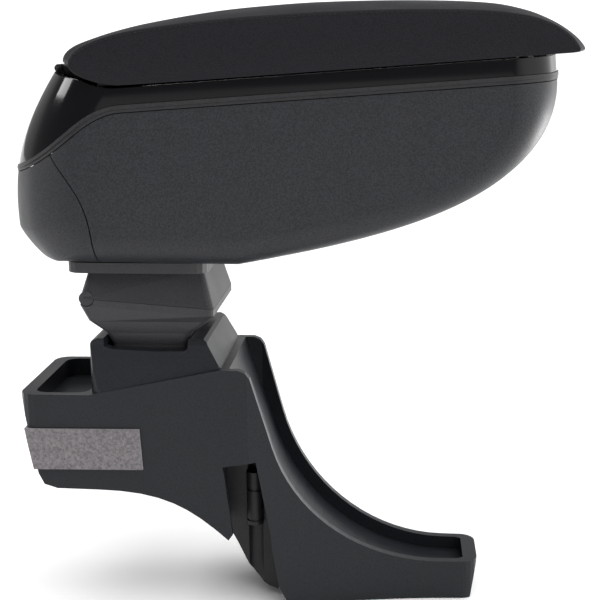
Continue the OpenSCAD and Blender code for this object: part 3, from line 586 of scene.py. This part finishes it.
# The button: a face that follows the box's front, two prongs and a bridge, and room for the striker
FACE_OUTER, FACE_INNER, BUTTON_REAR = 0.3, 2.5, 224
PRONG_Y, PRONG_HALF, PRONG_V = 10, 1.5, 2.9
button = prism("latch_push", rect(225, BUTTON_V - BUTTON_H / 2, 245, BUTTON_V + BUTTON_H / 2), BUTTON_W / 2)
button = cut(clipped(button, box_form("cutter", FACE_OUTER)), box_form("cutter", FACE_INNER, *HALF_FINE))
for side in (-1, 1):
    prong = rect(BUTTON_REAR, side * PRONG_Y - PRONG_HALF, 236, side * PRONG_Y + PRONG_HALF)
    button = joined(button, upright("prong", prong, BUTTON_V - PRONG_V, BUTTON_V + PRONG_V))
button = joined(button, upright("bridge", rect(BUTTON_REAR, -9, 228.7, 9), BUTTON_V - 1, BUTTON_V + 1.4))
button = cut(button, prism("cutter", rect(228.9, BUTTON_V - 4, 235.8, BUTTON_V + 4), 7.5))
finish_piece(softened(welded(button), 0.4, 3), "latch", "gloss_black", "latch_button")

# The button's spring, which gets shorter as the button goes in, as a copy with a mesh of its own
coil = linked("latch_spring", nodes["button_spring"].data.copy())
finish_piece(coil, "head", "steel", "button_spring")
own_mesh(coil)


# The padded lid: two side panels sewn to a top panel that wraps over both ends. Its outline at the
# seams and its outline on the middle line are each in five parts: the lip, the front, the top and
# rear, the heel and the flat underside.

SIDE = [[(240.5, 0.0), (243.0, 0.4), (243.7, 1.7)],
        [(243.7, 1.7), (242.2, 4.8), (238.8, 9.2), (232.6, 14.0), (225.7, 17.6), (217.1, 20.6), (204, 23.3),
         (186.4, 25.7), (151, 28.5), (115.5, 30.0)],
        [(115.5, 30.0), (82.5, 30.5), (64.5, 30.5), (46.4, 30.1), (28.1, 29.3), (9.8, 27.9), (0.5, 26.6),
         (-8.9, 24.5), (-13.7, 22.9), (-18.5, 20.8), (-22.5, 18.2), (-25.0, 14.2)],
        [(-25.0, 14.2), (-24.4, 10.2), (-20.2, 6.8), (-15.9, 4.6), (-7.9, 1.8), (0.2, 0.4)],
        [(0.2, 0.4), (60, 0.1), (120, 0.1), (180, 0.0), (240.5, 0.0)]]
MIDDLE = [[(249.5, 0.0), (252.6, 0.1), (253.5, 1.4)],
          [(253.5, 1.4), (251.4, 4.6), (247.4, 8.8), (242.5, 12.9), (236.6, 16.9), (230, 20.5), (222.8, 23.8),
           (208, 28.3), (192, 30.7), (176.8, 32.2), (155, 33.9), (135, 35.1), (115.5, 36.1)],
          [(115.5, 36.1), (97.6, 36.7), (60.4, 36.4), (40, 35.3), (23.8, 33.8), (5, 31.7), (-12, 28.7),
           (-23.4, 26.0), (-32.9, 23.4), (-39.4, 19.6), (-41.8, 14.8)],
          [(-41.8, 14.8), (-34, 11.4), (-26, 7.8), (-18, 4.3), (-11, 1.4), (0, 0.1)],
          [(0, 0.1), (60, 0.0), (120, 0.0), (190, 0.0), (249.5, 0.0)]]
COUNTS = (4, 44, 44, 12, 40)
SEAM_Y, SEAM_DEPTH = 62.3, 0.55
# The line inside a side panel that its rings shrink toward, and how far the panel swells there
CORE_REAR, CORE_FRONT, CORE_V, SIDE_SWELL = 14, 205, 13, 0.95
# Up to this height the underside is held flat while the pad swells
UNDERSIDE_V = 0.6


def spline(points, count):
    """Points at even distances along a smooth curve through the given ones, without the last."""
    fine = []
    for i in range(len(points) - 1):
        p0, p1, p2, p3 = (points[max(0, min(len(points) - 1, i + k))] for k in (-1, 0, 1, 2))
        for j in range(16):
            t = j / 16
            fine.append([0.5 * (2 * b + (c - a) * t + (2 * a - 5 * b + 4 * c - d) * t * t
                                + (3 * b - a - 3 * c + d) * t ** 3) for a, b, c, d in zip(p0, p1, p2, p3)])
    fine.append(list(points[-1]))
    lengths = [0]
    for a, b in zip(fine, fine[1:]):
        lengths.append(lengths[-1] + math.dist(a, b))
    out, k = [], 0
    for i in range(count):
        at = lengths[-1] * i / count
        while lengths[k + 1] < at:
            k += 1
        f = (at - lengths[k]) / (lengths[k + 1] - lengths[k])
        out.append([a + (b - a) * f for a, b in zip(fine[k], fine[k + 1])])
    return out


side_line = [p for part, n in zip(SIDE, COUNTS) for p in spline(part, n)]
mid_line = [p for part, n in zip(MIDDLE, COUNTS) for p in spline(part, n)]


def lid_loop(flank, f):
    """A ring round the top panel, the fraction f of the way from the middle line to a seam."""
    rear, front, up = (1 - f * f) ** 1.386, (1 - f * f) ** 1.1, (1 - f ** 3) ** 0.85
    return [(s[0] + (m[0] - s[0]) * (rear if m[0] < 100 else front),
             flank * f * SEAM_Y,
             s[1] + (m[1] - s[1]) * up) for s, m in zip(side_line, mid_line)]


def side_loop(flank, r):
    """A ring inside a side panel: the seam at r = 1, and the line that it shrinks toward at 0."""
    y = SEAM_Y + SIDE_SWELL * (1 - r ** 3)
    out = []
    for u, v in side_line:
        core = max(CORE_REAR, min(CORE_FRONT, u))
        out.append((core + (u - core) * r, flank * y, CORE_V + (v - CORE_V) * r))
    return out


FRACTIONS = [0, 0.16, 0.32, 0.46, 0.58, 0.68, 0.76, 0.83, 0.885, 0.93, 0.965, 0.985, 0.995, 1]
SHRINKS = [0.985, 0.95, 0.88, 0.78, 0.64, 0.48, 0.32, 0.18]
top_panel = [lid_loop(-1, f) for f in reversed(FRACTIONS[1:])] + [lid_loop(1, f) for f in FRACTIONS]
lid = closed("lid_cushion", [side_loop(-1, r) for r in reversed(SHRINKS)] + top_panel
             + [side_loop(1, r) for r in SHRINKS])
bm = bmesh.new()
bm.from_mesh(lid.data)
bmesh.ops.triangulate(bm, faces=[f for f in bm.faces if len(f.verts) > 4])
bmesh.ops.remove_doubles(bm, verts=bm.verts, dist=0.05 * MM)
bmesh.ops.recalc_face_normals(bm, faces=bm.faces)
bm.to_mesh(lid.data)
bm.free()


def on_seam(y):
    return abs(abs(y) - SEAM_Y) < 0.02


def held(p):
    """How firmly the cloth is pinned at a world point: the underside and the seams don't move."""
    u, y, v = local(p)
    return 1.0 if v < UNDERSIDE_V or on_seam(y) else 0.0


def inflate(obj, pressure=4.0, stiffness=40, frames=20, cap=1.2):
    """Cloth under pressure with the held points pinned; each point moves at most cap millimetres."""
    start = [v.co.copy() for v in obj.data.vertices]
    group = obj.vertex_groups.new(name="held")
    for v in obj.data.vertices:
        group.add([v.index], held(v.co), "REPLACE")
    mod = obj.modifiers.new("cloth", "CLOTH")
    cs = mod.settings
    cs.vertex_group_mass = "held"
    cs.use_pressure, cs.uniform_pressure_force = True, pressure
    cs.effector_weights.gravity = 0
    cs.tension_stiffness = cs.compression_stiffness = stiffness
    mod.collision_settings.use_collision = False
    scene = bpy.context.scene
    for frame_no in range(1, frames + 1):
        scene.frame_set(frame_no)
    done = bpy.data.meshes.new_from_object(obj.evaluated_get(bpy.context.evaluated_depsgraph_get()))
    obj.modifiers.clear()
    scene.frame_set(1)
    for v, a, b in zip(obj.data.vertices, start, done.vertices):
        d = b.co - a
        if d.length > cap * MM:
            d *= cap * MM / d.length
        v.co = a + d
    obj.vertex_groups.clear()


inflate(lid)

# The seam sinks between the two panels
bm = bmesh.new()
bm.from_mesh(lid.data)
bm.normal_update()
for vert in bm.verts:
    u, y, v = local(vert.co)
    if on_seam(y) and v > 1.0:
        vert.co -= vert.normal * SEAM_DEPTH * MM
bm.to_mesh(lid.data)
bm.free()
sub = lid.modifiers.new("smooth", "SUBSURF")
sub.levels = sub.render_levels = 1
# The hollow that the board lies in, open below
HOLLOW_TOP, BOARD_TOP, BOARD_HOLLOW_TOP, BELOW_LID = 10.5, 12, 9, -6
lid = cut(baked(lid), upright("cutter", rounded(-30.5, 237, 56, 14.5), BELOW_LID, HOLLOW_TOP))
finish_piece(lid, "cushion", "leatherette", "cushion_cover", "cushion_foam", angle=60)

# The board inside the cover: the top panel's form, a little smaller, cut off flat and hollowed from below
BOARD_U, BOARD_V = 105.9, 14
SCALE_U, SCALE_Y, SCALE_V = 0.989, 0.974, 0.893
board = closed("lid_board", [[(BOARD_U + (u - BOARD_U) * SCALE_U,
                               y * SCALE_Y,
                               BOARD_V + (v - BOARD_V) * SCALE_V) for u, y, v in loop] for loop in top_panel])
board = clipped(board, prism("cutter", rect(AHEAD, BOARD_TOP, -90, -9), 80))
board = cut(board, upright("cutter", rounded(-30, 236.5, 55.5, 14), BELOW_LID, BOARD_HOLLOW_TOP))
finish_piece(softened(welded(board), 0.3), "cushion", "dark_plastic", "cushion_board")


# A row of short stitches in each side panel, along its seam over the front, the top and the rear

PITCH, LENGTH, RADIUS, SIDES = 2.7, 1.8, 0.26, 6
# How far a stitch lies from the seam, how far it stands out, and how thick it is along its length
INSET, PROUD = 1.3, 0.06
SWELL = ((0, 0.35), (0.12, 0.8), (0.5, 1.0), (0.88, 0.8), (1, 0.35))
# The first stitch starts this far along the path, and none starts nearer to its end
ROW_START, ROW_END = 3.0, 4

tree = BVHTree.FromPolygons([v.co.copy() for v in lid.data.vertices],
                            [tuple(p.vertices) for p in lid.data.polygons])
path = side_line[COUNTS[0]:sum(COUNTS[:3]) + 1]
steps = [0]
for a, b in zip(path, path[1:]):
    steps.append(steps[-1] + math.dist(a, b))


def on_path(at):
    k = max(i for i, s in enumerate(steps[:-1]) if s <= at)
    f = (at - steps[k]) / (steps[k + 1] - steps[k])
    return [a + (b - a) * f for a, b in zip(path[k], path[k + 1])]


def stitch_end(flank, at):
    """A point on the side panel, beside the seam, found from outside the lid."""
    p, q = on_path(at), on_path(min(at + 0.5, steps[-1]))
    along = Vector((q[0] - p[0], q[1] - p[1])).normalized()
    inward = Vector((-along[1], along[0]))
    spot = Vector(world_of(p[0] + inward[0] * INSET, flank * (SEAM_Y + 4), p[1] + inward[1] * INSET))
    hit = tree.ray_cast(spot, Vector((0, -flank, 0)))
    return hit[0] + Vector((0, flank * PROUD * MM, 0)) if hit[0] else spot


def add_stitch(bm, start, end):
    axis = (end - start).normalized()
    side = axis.orthogonal().normalized()
    other = axis.cross(side)
    rings = []
    for t, r in SWELL:
        c = start.lerp(end, t)
        rings.append([bm.verts.new(c + (side * math.cos(a) + other * math.sin(a)) * RADIUS * r * MM)
                      for a in [math.tau / SIDES * i for i in range(SIDES)]])
    for a, b in zip(rings, rings[1:]):
        for i in range(SIDES):
            j = (i + 1) % SIDES
            bm.faces.new((a[i], a[j], b[j], b[i]))
    bm.faces.new(list(reversed(rings[0])))
    bm.faces.new(rings[-1])


bm = bmesh.new()
for flank in (-1, 1):
    at = ROW_START
    while at < steps[-1] - ROW_END:
        add_stitch(bm, stitch_end(flank, at), stitch_end(flank, at + LENGTH))
        at += PITCH
bmesh.ops.recalc_face_normals(bm, faces=bm.faces)
stitch_mesh = bpy.data.meshes.new("lid_stitching")
bm.to_mesh(stitch_mesh)
bm.free()
finish_piece(linked("lid_stitching", stitch_mesh), "cushion", "leatherette", mat=thread, angle=60)


# Soft edges on the CAD parts that show

for name, width in (("base_body", 1.0), ("neck_lower", 1.2), ("neck_upper", 1.0), ("bottom_plate", 1.0),
                    ("felt_strip", 0.3), ("clamp_core", 0.6), ("clamp_sleeves", 0.2)):
    softened(nodes[name], width, 3, 32)
